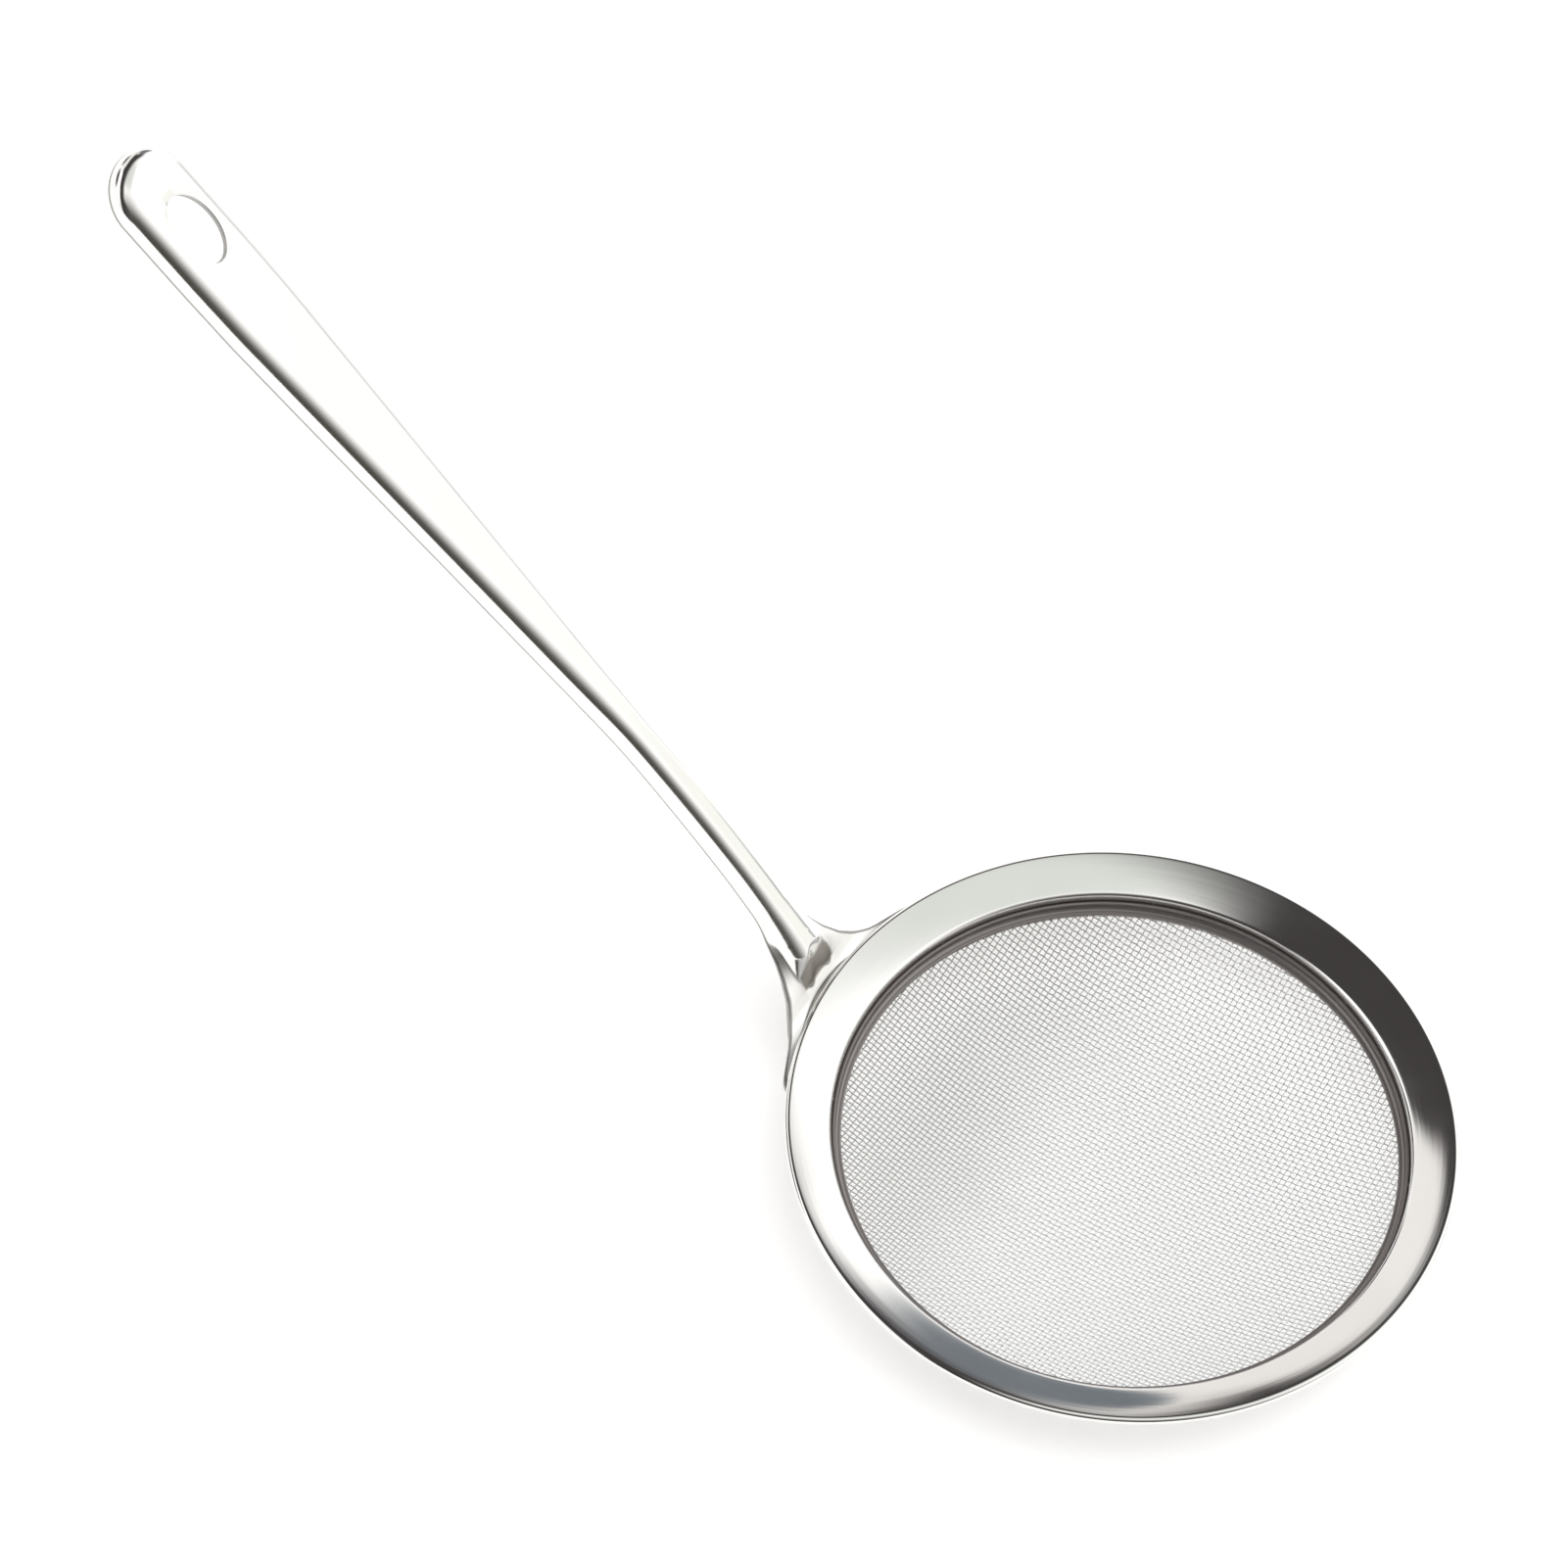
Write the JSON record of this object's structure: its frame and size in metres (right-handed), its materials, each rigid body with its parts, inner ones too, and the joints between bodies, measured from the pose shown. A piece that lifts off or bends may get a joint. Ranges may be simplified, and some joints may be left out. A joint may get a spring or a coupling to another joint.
{
  "type": "tea strainer",
  "caption": "Long-handled tea strainer: fine woven-wire dish in a pressed steel rim, with a stamped channel handle that has an oval hanging hole.",
  "frame": {"origin": "on the rim's axis, half-way up the outside of the collar", "axes": "+Z is the rim's axis, out of the open side; the handle runs towards -X and rises; XZ is the plane of symmetry"},
  "size_m": [0.2725, 0.12, 0.1476],
  "materials": {
    "rim_steel": "mirror-polished stainless steel",
    "wire_cloth": "bright woven stainless wire",
    "clamp_steel": "satin stainless steel",
    "handle_steel": "polished stainless steel",
    "weld_metal": "resistance-weld nugget"
  },
  "bodies": {
    "root": {"rim": "rim_steel", "mesh_screen": "wire_cloth", "clamp_ring": "clamp_steel", "handle": "handle_steel", "handle_welds": "weld_metal", "clamp_welds": "weld_metal"}
  },
  "joints": []
}
